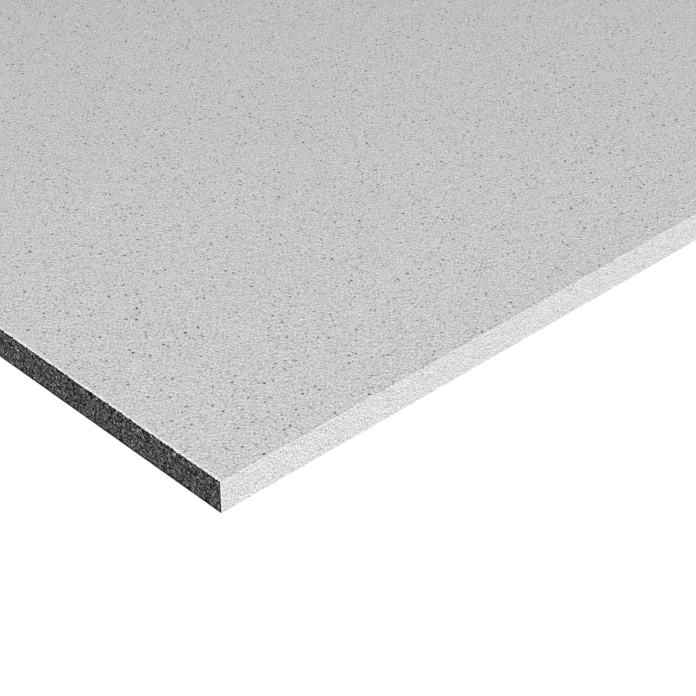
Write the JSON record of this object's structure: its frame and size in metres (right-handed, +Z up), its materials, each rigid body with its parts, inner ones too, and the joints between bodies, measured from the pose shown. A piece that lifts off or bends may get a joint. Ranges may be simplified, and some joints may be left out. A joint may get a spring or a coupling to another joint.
{
  "type": "drywall sheet",
  "caption": "Flat square-edged drywall sheet of solid gypsum fibreboard: one homogeneous slab with no paper face, sanded front and back, sawn square on all four sides.",
  "frame": {"origin": "middle of the back face, which lies on the floor", "axes": "+X along the 2400 mm length, +Y across the 1200 mm width, +Z up through the 12.5 mm thickness towards the visible front face"},
  "size_m": [2.4, 1.2, 0.0125],
  "materials": {
    "gypsum_fibreboard": "matte"
  },
  "bodies": {
    "root": {"drywall_sheet": "gypsum_fibreboard"}
  },
  "joints": []
}
